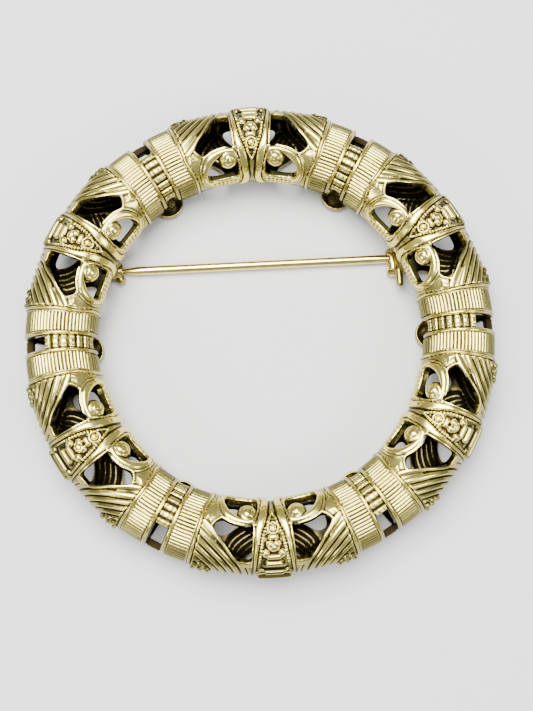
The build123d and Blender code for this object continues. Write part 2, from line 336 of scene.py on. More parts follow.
@dataclass(frozen=True)
class FrontRelief(Relief):
    """The stamped ornament of the front: keystones, rails, open scrolls and fans of ribs.

    A bar is its middle and half width along and around, and its top. A knob is its place, size
    and top. The disc is its place around, size and height, the ring about it is its size, half
    width and height, and the ball's groove is its start, how far it widens in a turn, its half
    width and its depth. What runs beside an outline is its distance from it and its half width.
    """

    inside_arch: Outline = Outline(((27.6, 172), (29.0, 161), (30.0, 157.5), (31.0, 161), (32.4, 172),
                                    (33.5, 184), (30.0, 200), (26.5, 184)))
    opening: Outline = Outline(((5.7, 49), (7.6, 47), (9.4, 50), (12.9, 74), (15.2, 86), (16.6, 95),
                                (16.7, 101), (14.9, 111), (11.8, 106), (8.5, 104), (5.8, 106), (5.6, 90),
                                (5.6, 70)))
    scroll: Outline = Outline(((4.6, 106), (6.2, 103.6), (8.5, 103), (11.9, 105), (14.8, 111), (16.8, 123),
                               (17.7, 137), (17.7, 152), (16.6, 167), (13.5, 177), (6.0, 177), (3.6, 162),
                               (3.6, 140), (4.2, 122)))
    eye: Outline = Outline(((4.6, 129), (4.5, 140), (4.6, 149), (5.8, 156), (8.2, 158.5), (12.0, 158.5),
                            (14.4, 155), (15.2, 148), (14.8, 139), (13.4, 129), (11.2, 121), (8.9, 116.5),
                            (6.9, 116), (5.4, 120)))
    rail: Outline = Outline(((5.2, 1), (5.2, 30), (5.2, 60), (5.1, 85), (5.0, 104), (4.4, 122), (3.9, 140),
                             (3.4, 158), (4.2, 172), (5.2, 179), (2.2, 179), (0.8, 168), (0.75, 150),
                             (1.0, 135), (1.4, 120), (2.3, 105), (3.2, 90), (3.8, 66), (4.2, 40), (4.4, 1)))
    lug: Outline = Outline(((5.2, 36), (7.0, 34), (8.6, 36), (8.9, 50), (7.4, 53), (6.0, 50), (5.2, 48)))
    facet: Outline = Outline(((19.8, 99), (17.9, 107), (16.2, 112.5), (18.0, 117), (19.9, 121)))
    field_edge: Outline = Outline(((1.35, 111), (1.1, 117), (0.5, 124), (0, 128), (-0.5, 124)), open=True)
    bars: tuple[Bar, ...] = (
        (0.0, 2.5, 26.5, 4.6, 3.42), (0.0, 2.15, 46.0, 4.8, 3.42), (0.0, 1.95, 58.5, 4.4, 3.39),
        (0.0, 1.4, 88.5, 4.6, 3.34))
    knobs: tuple[tuple[float, float, float, float], ...] = (
        (3.15, 27.5, 0.34, 3.40), (3.95, 24.5, 0.30, 3.37), (2.1, 63.5, 0.36, 3.39),
        (0.85, 77.5, 0.36, 3.37), (0.35, 72.5, 0.34, 3.37), (1.55, 95.5, 0.15, 3.26))
    disc: Triple = (102.0, 0.29, 0.34)
    ring: Triple = (0.44, 0.10, 0.32)
    panel_field: Pair = (3.05, 0.16)
    panel_beads: Pair = (0.15, 0.13)
    panel_bead_pitch: float = 5.0
    field_bead: Pair = (0.09, 0.22)
    fan_ribs: Pair = (2.96, 0.27)
    bead_pitch: float = 9.0
    bead_heights: Pair = (0.24, 0.16)
    fan_plate: float = 3.11
    facet_heights: Pair = (3.08, 0.12)
    lug_heights: Pair = (3.0, 0.2)
    opening_rim: Pair = (2.96, 0.26)
    rim_line: Pair = (0.11, 0.13)
    rail_heights: Pair = (3.02, 3.34)
    rail_bevel: float = 0.17
    scroll_floor: float = 3.02
    scroll_ridges: Pair = (0.34, 0.22)
    scroll_grain: Pair = (0.16, 0.10)
    grain_pitch: Pair = (1.5, 6.4)
    lip: Pair = (0.08, 0.06)
    ball: Pair = (7.6, 125.5)
    ball_radius: float = 0.87
    ball_floor: float = 2.77
    ball_groove: tuple[float, float, float, float] = (0.22, 0.34, 0.06, 0.09)

    def fan(self, along: Grid, around: Grid) -> Grid:
        """Return the fan: round ribs, then rows of beads, and a smooth plate beyond them.

        Args:
            along: degrees from the panel's middle.
            around: degrees around the tube.

        Returns:
            The distance from the tube's centre line in mm, at each place.
        """
        number = self.rib_number(along, around)
        off = np.abs(number - np.round(number))
        ribs = risen(self.fan_ribs, dome(off / 0.38) ** 0.8)
        half = self.bead_pitch / 2
        shift = np.mod(around + half * np.round(number), self.bead_pitch) - half
        beads = dome(np.hypot(off / 0.46, shift / 4.4))
        high, low = self.bead_heights
        rows = self.ground + high * beads * smooth((48.0 - around) / 30.0) + low * beads
        plate = (self.fan_plate + 0.05 * smooth((number + 0.9) / 0.4)
                 - 0.13 * smooth((number + 0.52) / 0.10))
        radius = np.where(number > 4.5, rows, np.where(number < -0.45, plate, ribs))
        return np.where((around > 104) & (number < 0.5), self.fan_plate, radius)

    def panel(self, along: Grid, around: Grid) -> Grid:
        """Return the keystone: bars, knobs and a ringed disc, with beads beside the rails.

        Args:
            along: degrees from the panel's middle.
            around: degrees around the tube.

        Returns:
            The distance from the tube's centre line in mm, at each place.
        """
        beside = (self.rail.distance(along, around) - self.panel_beads[0]) / self.panel_beads[1]
        shift = np.mod(around, self.panel_bead_pitch) - self.panel_bead_pitch / 2
        beads = dome(np.hypot(beside, shift / 2.4)) * (around < 118)
        radius = risen(self.panel_field, beads)
        for sizes in (self.end_bar, *self.bars):
            radius = np.maximum(radius, self.bar(along, around, sizes))
        for at_along, at_around, size, top in self.knobs:
            gap = spot_distance(along, around, (at_along, at_around))
            radius = np.maximum(radius, self.ground + (top - self.ground) * dome(gap / size) ** 0.8)
        place, size, height = self.disc
        gap = spot_distance(along, around, (0.0, place))
        radius = np.maximum(radius, self.ground + height * dome(gap / size) ** 0.4)
        size, half, height = self.ring
        radius = np.maximum(radius, self.ground + height * dome((gap - size) / half))
        gap = self.field_edge.distance(along, around)
        return np.maximum(radius, self.ground + self.field_bead[1] * dome(gap / self.field_bead[0]))

    def radius(self, along: Grid, around: Grid) -> Grid:
        """Return the outside of the front half: the highest of its pieces at each place.

        The surface turns down by the lip's depth within the lip's width of an opening.

        Args:
            along: degrees from the panel's middle.
            around: degrees around the tube.

        Returns:
            The distance from the tube's centre line in mm, at each place.
        """
        along = np.abs(along)
        place = self.barrel_place(along, around)
        radius = np.where(along < TUBE.panel_end, self.panel(along, around), self.fan(along, around))
        facet = risen(self.facet_heights, smooth(-self.facet.distance(along, around) / 0.3))
        radius = np.where(along > 15, np.maximum(radius, facet), radius)
        inside = -self.lug.distance(along, around)
        lug = dome(1 - np.clip(inside / 0.3, 0, 1)) * (inside > 0)
        radius = np.maximum(radius, risen(self.lug_heights, lug))
        rim = dome((self.opening.distance(along, around) - self.rim_line[0]) / self.rim_line[1])
        radius = np.maximum(radius, risen(self.opening_rim, rim * (along > TUBE.panel_end)))
        radius = np.maximum(radius, self.rails(along, around))
        radius = np.maximum(radius, self.scrolls(along, around))
        radius = np.where(place < TUBE.outer_collar_end, self.barrel(along, around), radius)
        lip = np.clip(1.0 - self.hole(along, around) / self.lip[0], 0.0, 1.0)
        return np.maximum(radius - self.lip[1] * lip ** 2, self.ball_top(along, around))

    def rails(self, along: Grid, around: Grid) -> Grid:
        """Return the polished rails, flat on top with bevelled sides.

        Args:
            along: degrees from the panel's middle.
            around: degrees around the tube.

        Returns:
            The distance from the tube's centre line in mm, and 0 where there is none.
        """
        inside = -self.rail.distance(along, around)
        floor, top = self.rail_heights
        top = top - 0.05 * smooth((along - 0.5) / 3.0) * smooth((130 - around) / 40.0)
        side = smooth(inside / self.rail_bevel) ** 0.8
        return np.where(inside > 0, floor + (top - floor) * side, 0.0)

    def scrolls(self, along: Grid, around: Grid) -> Grid:
        """Return the open scroll: a main ridge beside the eye and a thin one outside it.

        Both stand at a share of the way from the eye to the scroll's outer edge. The low
        part at the inside of the tube is grained instead.

        Args:
            along: degrees from the panel's middle.
            around: degrees around the tube.

        Returns:
            The distance from the tube's centre line in mm, and 0 where there is none.
        """
        outer, inner = -self.scroll.distance(along, around), self.eye.distance(along, around)
        share = np.clip(inner, 0, None) / np.maximum(np.clip(inner, 0, None) + np.clip(outer, 0, None), 1e-6)
        main = self.scroll_ridges[0] * dome((share - 0.37) / 0.38) ** 0.7
        side = self.scroll_ridges[1] * dome((share - 0.87) / 0.12) ** 0.8
        low = smooth((around - 158.0) / 5.0) * smooth((15.5 - along) / 2.0)
        a, b = (np.mod(place, pitch) / (pitch / 2) - 1
                for place, pitch in zip((along, around), self.grain_pitch))
        grained = risen(self.scroll_grain, dome(np.hypot(a, b)))
        shape = self.scroll_floor + np.maximum(main, side) * (1 - low) + low * grained
        return np.where((outer > 0) & (inner > 0), shape, 0.0)

    def ball_top(self, along: Grid, around: Grid) -> Grid:
        """Return the ball at the curl: a half round with a spiral groove cut into it.

        Args:
            along: degrees from the panel's middle.
            around: degrees around the tube.

        Returns:
            The distance from the tube's centre line in mm, and 0 where there is none.
        """
        gap = spot_distance(along, around, self.ball)
        reach = TUBE.ring + TUBE.skin * np.cos(np.radians(around))
        x = (along - self.ball[0]) * np.radians(1) * reach
        y = (around - self.ball[1]) * np.radians(1) * TUBE.skin
        turn = np.mod(np.arctan2(y, -x) / (2 * np.pi) + 0.15, 1.0)
        start, widening, half, depth = self.ball_groove
        groove = np.exp(-(((gap - start - widening * turn) / half) ** 2)) * smooth((gap - 0.13) / 0.1)
        shape = self.ball_floor + self.ball_radius * dome(gap / self.ball_radius) - depth * groove
        return np.where(gap < self.ball_radius, shape, 0.0)

    def hole(self, along: Grid, around: Grid) -> Grid:
        """Return the distance to the nearest opening: window, arch, fan opening or eye.

        Args:
            along: degrees from the panel's middle.
            around: degrees around the tube.

        Returns:
            The distance in mm at each place, negative inside an opening.
        """
        along = np.abs(along)
        eye = np.maximum(self.eye.distance(along, around),
                         self.ball_radius - 0.03 - spot_distance(along, around, self.ball))
        return np.minimum(np.minimum(self.opening.distance(along, around), eye), self.window(along, around))


@dataclass(frozen=True)
class BackRelief(Relief):
    """The plainer back: two kinds of opening with curved ribs between them."""

    inside_arch: Outline = Outline(((26.5, 184), (25.5, 156), (25.3, 133), (26.3, 117), (30.0, 114.5),
                                    (33.7, 117), (34.7, 133), (34.5, 156), (33.5, 184), (30.0, 200)))
    window_start: float = 22.0
    middle: Outline = Outline(((-5.6, 36), (0.0, 35), (5.6, 36), (6.9, 40), (7.0, 48), (6.3, 57),
                               (5.0, 66), (3.2, 73), (0.0, 78), (-3.2, 73), (-5.0, 66), (-6.3, 57),
                               (-7.0, 48), (-6.9, 40)))
    side: Outline = Outline(((9.6, 110), (11.4, 100), (12.9, 91.5), (14.6, 88), (16.5, 93), (17.0, 106),
                             (16.7, 122), (15.5, 137), (13.2, 147), (10.6, 147), (9.0, 137), (8.8, 122)))
    ribs: tuple[Outline, ...] = tuple(
        Outline(tuple((a + n * s, b + n * t) for a, b, s, t in (
            (8.4, 42.0, 1.0, 6.5), (7.75, 53.5, 1.12, 6.0), (6.6, 64.0, 1.25, 5.5), (5.0, 73.5, 1.28, 5.5),
            (3.0, 82.0, 1.3, 5.5))), open=True) for n in range(5))
    fan_ribs: Pair = (2.98, 0.24)
    curved_ribs: Pair = (2.98, 0.25)
    rib_half: float = 0.16
    plain: float = 3.05

    def radius(self, along: Grid, around: Grid) -> Grid:
        """Return the outside of the back half, as in the shared relief.

        Args:
            along: degrees from the panel's middle.
            around: degrees around the tube.

        Returns:
            The distance from the tube's centre line in mm, at each place.
        """
        along = np.abs(along)
        number = self.rib_number(along, around)
        fan = risen(self.fan_ribs, dome((number - np.round(number)) / 0.38) ** 0.8)
        radius = np.where(number > 0.6, fan, self.plain)
        for rib in self.ribs:
            ridge = dome(rib.distance(along, around) / self.rib_half)
            radius = np.maximum(radius, risen(self.curved_ribs, ridge))
        radius = np.maximum(radius, self.bar(along, around, self.end_bar))
        place = self.barrel_place(along, around)
        return np.where(place < TUBE.outer_collar_end, self.barrel(along, around), radius)

    def hole(self, along: Grid, around: Grid) -> Grid:
        """Return the distance to the nearest opening of the back.

        Args:
            along: degrees from the panel's middle.
            around: degrees around the tube.

        Returns:
            The distance in mm at each place, negative inside an opening.
        """
        along = np.abs(along)
        pierced = np.minimum(self.middle.distance(along, around), self.side.distance(along, around))
        return np.minimum(pierced, self.window(along, around))


@dataclass(frozen=True)
class Shell:
    """One half of the ring as six pierced sectors, each from barrel to barrel.

    A stretch of columns is where it starts and ends along, and how many it has. The inside of
    the wall follows the outside, but not into what stands out past `deepest`.
    """

    half: Half
    node: str
    name: str
    columns: tuple[tuple[float, float, int], ...]
    rows: int
    relief: Relief
    wall: float = 0.45
    deepest: float = 3.3

    def grid(self) -> tuple[Grid, Grid]:
        """Return the places of one twelfth, with more columns where the relief is fine.

        Returns:
            The places along and around, as two grids of one shape.
        """
        stretches = [np.linspace(a, b, n, endpoint=False) for a, b, n in self.columns]
        along = np.append(np.concatenate(stretches), TWELFTH)
        around = np.linspace(0.0, 180.0, self.rows + 1)
        return tuple(np.meshgrid(along, around))

    def trimmed(self) -> tuple[Grid, Grid, Grid]:
        """Return the places of one twelfth, fitted to the openings, and which faces stay.

        A corner near an edge, or just inside an opening, moves onto the edge: p becomes
        p - d g / |g|^2, where d is the distance there and g its slope, three times over. The
        slope is the rise over a small step, and no move is longer than its limit.

        Returns:
            The places along, the places around, and whether each face stays.
        """
        step, limit_along, limit_around = 0.02, 0.5, 2.0
        along, around = self.grid()
        gap = self.relief.hole(along, around)
        cell = np.radians(np.median(np.diff(around[:, 0]))) * TUBE.skin
        solid = gap > 0.35 * cell
        keep = solid[:-1, :-1] | solid[1:, :-1] | solid[:-1, 1:] | solid[1:, 1:]
        used = np.zeros(along.shape, bool)
        for rows, cols in ((slice(0, -1), slice(0, -1)), (slice(1, None), slice(0, -1)),
                           (slice(0, -1), slice(1, None)), (slice(1, None), slice(1, None))):
            used[rows, cols] |= keep
        move = used & ~solid
        a, b = along[move], around[move]
        fixed_a, fixed_b = (a < 1e-6) | (a > TWELFTH - 1e-6), (b < 1e-6) | (b > 180 - 1e-6)
        for _ in range(3):
            here = self.relief.hole(a, b)
            slope_a = (self.relief.hole(a + step, b) - here) / step * ~fixed_a
            slope_b = (self.relief.hole(a, b + step) - here) / step * ~fixed_b
            scale = here / np.maximum(slope_a ** 2 + slope_b ** 2, 1e-4)
            a = a - np.clip(scale * slope_a, -limit_along, limit_along)
            b = b - np.clip(scale * slope_b, -limit_around, limit_around)
        along[move], around[move] = np.clip(a, 0, TWELFTH), np.clip(b, 0, 180)
        return along, around, keep

    def sector(self, index: int, along: Grid, around: Grid, keep: Grid, outer: Grid,
               inner: Grid) -> bpy.types.Object:
        """Build one sector: its outside, its inside and the cut edges between them.

        Args:
            index: which panel it holds, counted from +X.
            along: places of a twelfth along the ring.
            around: places of a twelfth around the tube.
            keep: faces of the twelfth that no opening takes away.
            outer: outside of the wall at each place.
            inner: inside of the wall at each place.

        Returns:
            The finished object.
        """
        along, around, outer, inner = (
            np.hstack([grid[:, :0:-1] * sign, grid])
            for grid, sign in ((along, -1), (around, 1), (outer, 1), (inner, 1)))
        turn = along + SIXTH * index + TWELFTH
        layers = [on_tube(turn, around, radius).reshape(-1, 3) for radius in (outer, inner)] * 2
        way = self.half.value
        points = np.vstack(layers) * (1.0, 1.0, way) + (0, 0, LIFT + way * TUBE.seam)
        return mesh_object(f"{self.name}_{index + 1}", points,
                           self.faces(np.hstack([keep[:, ::-1], keep])), self.attributes(outer, around))

    def faces(self, keep: Grid) -> np.ndarray:
        """Return the faces of a sector: its outside, its inside and the walls of its openings.

        An edge of the outside that no other face shares gets a wall down to the inside, but
        for those at the sector's two ends, where the next sectors join.

        Args:
            keep: faces of the sector's grid that no opening takes away.

        Returns:
            Rows of four corner numbers.
        """
        width = keep.shape[1] + 1
        count = (keep.shape[0] + 1) * width
        number = np.arange(count).reshape(-1, width)
        quads = np.stack([number[:-1, :-1], number[:-1, 1:], number[1:, 1:], number[1:, :-1]], -1)[keep]
        start, end = quads.ravel(), np.roll(quads, -1, 1).ravel()
        rim = ~np.isin(start * count + end, end * count + start)
        for side in (0, width - 1):
            rim &= ~((start % width == side) & (end % width == side))
        start, end = start[rim], end[rim]
        walls = np.stack([start, start + count, end + count, end], -1) + 2 * count
        faces = np.vstack([quads, quads[:, ::-1] + count, walls])
        return faces[:, ::-1] if self.half is Half.BACK else faces

    def attributes(self, outer: Grid, around: Grid) -> dict[str, np.ndarray]:
        """Return what the finish reads, for the outside, the inside and both edges of the walls.

        worn = 0.6 (height over the near surroundings) + 0.4 (height over the wider ones), and
        is the opposite on the inside, low on the cut at the seam and a little high on the
        others. `inside` is 1 on the inside, and `side` is painted shade: 1 on the low places of
        the tube's sides, where the plating is painted darker, and fading towards the front and
        where the inner side stands out.

        Args:
            outer: outside of the wall at each place of the sector.
            around: places around the tube.

        Returns:
            The values of each attribute, one for each point.
        """
        worn = (0.6 * (outer - blurred(outer, 4)) + 0.4 * (outer - blurred(outer, 20))).ravel()
        cut = np.where(np.abs(around.ravel() - 90.0) > 89.9, -0.2, 0.03)
        # painted shade: side darkens the plating on the tube's flanks, and less where the inner side stands
        # out
        side = 1.0 - smooth((around - 28.0) / 50.0) * smooth((163.0 - around) / 50.0)
        side *= 1.0 - 0.85 * smooth((outer - 3.12) / 0.14) * smooth((around - 90.0) / 20.0)
        return {"worn": np.concatenate([worn, -worn, cut, cut]),
                "inside": np.repeat([0.0, 1.0, 0.0, 1.0], outer.size), "side": np.tile(side.ravel(), 4)}

    def build(self, finish: "PlatedFinish") -> None:
        """Build the six sectors, dress them and let them stand for the CAD node.

        Args:
            finish: the plating of this half.
        """
        along, around, keep = self.trimmed()
        outer = self.relief.radius(along, around)
        inner = np.minimum(blurred(outer, 1), self.deepest) - self.wall
        material = finish.material()
        for index in range(6):
            piece = self.sector(index, along, around, keep, outer, inner)
            piece.data.materials.append(material)
            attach(piece, "ring")
            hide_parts(self.node)
        log.info("%s: 6 sectors of %d faces", self.name, 2 * int(keep.sum()) * 2)


def blurred(grid: Grid, times: int) -> Grid:
    """Return a grid smoothed by averaging each value with its four neighbours.

    Args:
        grid: the values.
        times: how often they are averaged.

    Returns:
        The smoothed values.
    """
    for _ in range(times):
        padded = np.pad(grid, 1, mode="edge")
        grid = (2 * grid + padded[:-2, 1:-1] + padded[2:, 1:-1] + padded[1:-1, :-2] + padded[1:-1, 2:]) / 6
    return grid


def mesh_object(name: str, points: np.ndarray, faces: np.ndarray,
                values: dict[str, np.ndarray] | None = None, sharp: float | None = None) -> bpy.types.Object:
    """Make a smooth-shaded object from points in mm and rows of four corner numbers.

    Args:
        name: name of the piece.
        points: one row of x, y, z for each point.
        faces: one row of four corner numbers for each face.
        values: point attributes to store, by name.
        sharp: angle in degrees above which an edge stays sharp. Points that coincide are
            merged first, so that poles close.

    Returns:
        The object, at the origin, with the points that no face uses left out.
    """
    used, corners = np.unique(faces, return_inverse=True)
    mesh = bpy.data.meshes.new(name)
    mesh.vertices.add(len(used))
    mesh.vertices.foreach_set("co", (points[used] * MM).astype(np.float32).ravel())
    mesh.loops.add(faces.size)
    mesh.loops.foreach_set("vertex_index", corners.astype(np.int32).ravel())
    mesh.polygons.add(len(faces))
    mesh.polygons.foreach_set("loop_start", np.arange(0, faces.size, 4, dtype=np.int32))
    mesh.update(calc_edges=True)
    for key, value in (values or {}).items():
        layer = mesh.attributes.new(key, "FLOAT", "POINT")
        layer.data.foreach_set("value", value[used].astype(np.float32))
    if sharp is not None:
        build = bmesh.new()
        build.from_mesh(mesh)
        bmesh.ops.remove_doubles(build, verts=build.verts, dist=1e-4 * MM)
        build.to_mesh(mesh)
        build.free()
    mesh.polygons.foreach_set("use_smooth", np.ones(len(mesh.polygons), bool))
    if sharp is not None:
        mesh.set_sharp_from_angle(angle=math.radians(sharp))
    piece = bpy.data.objects.new(name, mesh)
    bpy.context.scene.collection.objects.link(piece)
    return piece


def lofted(rings: np.ndarray, closed: bool = False) -> Skin:
    """Return points and faces of a skin over rings of points.

    Face (i, j) spans ring i to i + 1 and point j to j + 1. Each ring closes on itself, and
    the last ring joins the first where `closed` is set. The skin faces the side of
    (step along a ring) x (step from ring to ring).

    Args:
        rings: the points, by ring, by place on it, and x, y, z.
        closed: whether the last ring joins the first.

    Returns:
        Its points in mm, and its faces.
    """
    rows, count = rings.shape[:2]
    steps = np.arange(rows if closed else rows - 1)
    i, j = (grid.ravel() for grid in np.meshgrid(steps, np.arange(count), indexing="ij"))
    k, m = (i + 1) % rows, (j + 1) % count
    faces = np.stack([i * count + j, i * count + m, k * count + m, k * count + j], -1)
    return rings.reshape(-1, 3), faces


def turned(profile: list[Pair], middle: Triple, axis: str,
           closed: bool = False, segments: int = 56) -> Skin:
    """Return a profile turned about an axis.

    A point (t, r) of it becomes the circle middle + t axis + r (cos u, sin u) in the plane
    across the axis. It runs along +t where it faces outwards.

    Args:
        profile: its points (t, r).
        middle: where t = 0 lies on the axis.
        axis: x, y or z.
        closed: whether the profile closes on itself.
        segments: number of sides of each circle.

    Returns:
        Its points in mm, and its faces.
    """
    u = np.linspace(0, 2 * np.pi, segments, endpoint=False)
    t, r = np.array(profile, float)[:, :1], np.array(profile, float)[:, 1:]
    flat = [np.broadcast_to(t, (len(t), segments)), r * np.cos(u), r * np.sin(u)]
    order = {"x": (0, 1, 2), "y": (2, 0, 1), "z": (1, 2, 0)}[axis]
    return lofted(np.stack([flat[k] for k in order], -1) + middle, closed)


def plate(outline: np.ndarray, start: float, end: float, bevel: float) -> Skin:
    """Return a plate over a convex outline of (x, z), from y start to end, with bevelled edges.

    Ring k is centre + s_k (outline - centre), with s from 0 at the middle of one face to 1
    on the edge and back to 0 on the other face.

    Args:
        outline: rows of (x, z).
        start: y of one face.
        end: y of the other.
        bevel: width of the bevel.

    Returns:
        Its points in mm, and its faces.
    """
    centre = outline.mean(0)
    inset = 1.0 - bevel / np.linalg.norm(outline - centre, axis=1).min()
    scales = np.array([0.0, inset, 0.5 + inset / 2, 1.0, 1.0, 0.5 + inset / 2, inset, 0.0])
    steps = np.array([0.0, 0.0, 0.3, 1.0]) * bevel
    places = np.concatenate([start + steps, end - steps[::-1]])
    flat = centre + scales[:, None, None] * (outline - centre)
    rings = np.stack([flat[..., 0], np.broadcast_to(places[:, None], flat.shape[:2]), flat[..., 1]], -1)
    return lofted(rings)


def joined(parts: list[Skin]) -> Skin:
    """Return several (points, faces) pairs as one.

    Args:
        parts: the pieces to put together.

    Returns:
        All points, and all faces with their new numbers.
    """
    offsets = np.cumsum([0] + [len(points) for points, _ in parts[:-1]])
    return (np.vstack([points for points, _ in parts]),
            np.vstack([faces + offset for (_, faces), offset in zip(parts, offsets)]))


@dataclass(frozen=True)
class Findings:
    """The pin stem, its rivet and bracket, the catch and the feet, in mm, as in the solids.

    The axis is the rivet's. Wire, tip, thin, neck, knuckle, bore, rivet, head, ear, lug, tab
    and foot are radii, and what ends in half is half a length.
    """

    axis_x: float
    axis_y: float
    axis_z: float
    pin_y: float = 7.0
    wire: float = 0.385
    tip: float = 0.12
    tip_x: float = -12.65
    taper_x: float = -10.45
    thin: float = 0.32
    neck: float = 0.41
    neck_end: float = 0.42
    knuckle: float = 0.55
    knuckle_half: float = 0.75
    bore: float = 0.32
    rivet: float = 0.27
    head: float = 0.43
    side_gap: float = 0.06
    ear: float = 0.6
    ear_thick: float = 0.3
    lug: float = 0.33
    catch_near: float = -11.75
    catch_far: float = -12.85
    catch_bar_half: float = 0.22
    catch_reach: float = 0.515
    catch_arm_half: float = 0.7
    tab: float = 0.42
    foot: float = 1.3
    foot_place: float = 14.95

    def stem(self) -> Skin:
        """Return the tapered wire and the rounded knuckle that it ends in.

        Returns:
            Its points in mm, and its faces.
        """
        u = np.linspace(0, np.pi / 2, 6)
        tip = [(self.tip_x + self.tip * (1 - math.cos(v)), self.tip * math.sin(v)) for v in u]
        end = self.axis_x - self.neck_end
        shaft = tip + [(self.taper_x - 0.6, self.thin), (self.taper_x, self.wire), (0.0, self.wire),
                       (end - 0.4, self.wire), (end, self.neck), (end, 0.0)]
        h, r, b = self.knuckle_half, self.knuckle, 0.07
        loop = [(-h, self.bore + b), (-h, r - b), (-h + 0.3 * b, r - 0.3 * b), (-h + b, r), (h - b, r),
                (h - 0.3 * b, r - 0.3 * b), (h, r - b), (h, self.bore + b), (h - b, self.bore),
                (-h + b, self.bore)]
        return joined([turned(shaft, (0, self.pin_y, self.axis_z), "x"),
                       turned(loop, (self.axis_x, self.axis_y, self.axis_z), "y", closed=True)])

    def rivet_body(self) -> Skin:
        """Return the rivet with a low domed head at each end.

        Returns:
            Its points in mm, and its faces.
        """
        face = self.knuckle_half + self.side_gap + self.ear_thick + 0.03
        head = [(face, self.rivet), (face, self.head - 0.02), (face + 0.04, self.head),
                (face + 0.09, self.head - 0.05), (face + 0.13, self.head - 0.17), (face + 0.15, 0.0)]
        profile = [(-t, r) for t, r in reversed(head)] + head
        return turned(profile, (self.axis_x, self.axis_y, self.axis_z), "y")

    def arm(self, near: float, far: float, rounded: bool) -> np.ndarray:
        """Return the outline of a bar from the hinge's axis towards the tube's centre line.

        Args:
            near: where it starts, from the axis.
            far: where it ends.
            rounded: whether its near end is a half circle.

        Returns:
            Rows of (x, z).
        """
        centre = math.sqrt(TUBE.ring ** 2 - self.axis_y ** 2)
        way = np.array([centre - self.axis_x, LIFT - self.axis_z])
        way /= np.linalg.norm(way)
        across = np.array([-way[1], way[0]])
        u = np.linspace(np.pi / 2, 3 * np.pi / 2, 17)
        cap = np.stack([np.cos(u), np.sin(u)], -1) if rounded else np.array([[0.0, 1.0], [0.0, -1.0]])
        flat = np.vstack([cap * self.ear + [near, 0], [[far, -self.ear], [far, self.ear]]])
        return np.array([self.axis_x, self.axis_z]) + flat[:, :1] * way + flat[:, 1:] * across

    def bracket(self) -> Skin:
        """Return the two ears, the web between them and the rounded lug beside them.

        Returns:
            Its points in mm, and its faces.
        """
        inner = self.knuckle_half + self.side_gap
        outer = inner + self.ear_thick
        ears = [plate(self.arm(0.0, 1.7, True), self.axis_y + a, self.axis_y + b, 0.05)
                for a, b in ((-outer, -inner), (inner, outer))]
        web = plate(self.arm(0.72, 1.72, False), self.axis_y - inner - 0.1, self.axis_y + inner + 0.1,
                    0.03)
        u = np.linspace(0, np.pi / 2, 8)
        lug = [(-1.0 - self.lug * math.cos(v), self.lug * math.sin(v)) for v in u]
        lug += [(0.2, self.lug), (0.2, 0.0)]
        place = (self.axis_x + 0.38, self.axis_y - outer, self.axis_z + 0.88)
        return joined([*ears, web, turned(lug, place, "y", segments=32)])

    def catch(self) -> Skin:
        """Return the catch: a bar bent over the tip, its arm to the wall and its thumb tab.

        The bar's section is a rounded block, swept along a path in the plane across the
        pin: down one side, over the top in a half circle, and down the other side.

        Returns:
            Its points in mm, and its faces.
        """
        u = np.linspace(0, np.pi, 13)
        reach, top = self.catch_reach, self.axis_z + 0.05
        path = np.stack([np.cos(u) * reach, np.sin(u) * reach + top - 0.02], -1)
        path = np.vstack([[[reach, 0.02], [reach, 0.3]], path, [[-reach, 0.3], [-reach, 0.02]]])
        out = np.vstack([[[1, 0], [1, 0]], np.stack([np.cos(u), np.sin(u)], -1), [[-1, 0], [-1, 0]]])
        half, length = self.catch_bar_half, (self.catch_near - self.catch_far) / 2
        middle = self.catch_near - length
        corner = np.array([[1, 0.8], [0.8, 1], [-0.8, 1], [-1, 0.8], [-1, -0.8], [-0.8, -1], [0.8, -1],
                           [1, -0.8]])
        path = np.vstack([path[:1], path[:1], path[1:-1], path[-1:], path[-1:]])
        out = np.vstack([out[:1], out, out[-1:]])
        scale = np.concatenate([[0.0, 0.9], np.ones(len(path) - 4), [0.9, 0.0]])
        side = (path[:, None] + out[:, None] * corner[None, :, 1:] * half * scale[:, None, None])
        x = middle + corner[None, :, 0] * length * scale[:, None]
        rings = np.stack([x, self.pin_y + side[..., 0], side[..., 1]], -1)
        arm = np.array([(-11.8, 0.9), (-12.5, 0.6), (-12.9, 0.62), (-13.75, 1.15), (-13.0, 1.9),
                        (-11.9, 1.2)])
        v = np.linspace(0, np.pi, 13)
        tab = [(-self.tab * math.cos(w), self.tab * math.sin(w)) for w in v]
        place = (self.catch_near - 0.21, self.pin_y - 0.75, self.axis_z + 0.13)
        wide = self.catch_arm_half
        return joined([lofted(rings[:, ::-1]), plate(arm, self.pin_y - wide, self.pin_y + wide, 0.06),
                       turned(tab, place, "y", segments=32)])

    def feet(self) -> Skin:
        """Return the six dished feet, each with a rounded lip.

        Returns:
            Its points in mm, and its faces.
        """
        r, low, high = self.foot, 0.15, 0.9
        cup = [(low, 0.0), (low, r - 0.22), (low + 0.05, r - 0.08), (low + 0.18, r), (high - 0.12, r),
               (high - 0.04, r - 0.02), (high, r - 0.07), (high, r - 0.13), (high - 0.05, r - 0.19),
               (high - 0.2, r - 0.25), (high - 0.38, r - 0.42), (high - 0.47, r - 0.75), (high - 0.5, 0.0)]
        cups = []
        for index in range(6):
            angle = math.radians(SIXTH * index)
            place = (self.foot_place * math.cos(angle), self.foot_place * math.sin(angle), 0.0)
            cups.append(turned(cup, place, "z"))
        return joined(cups)

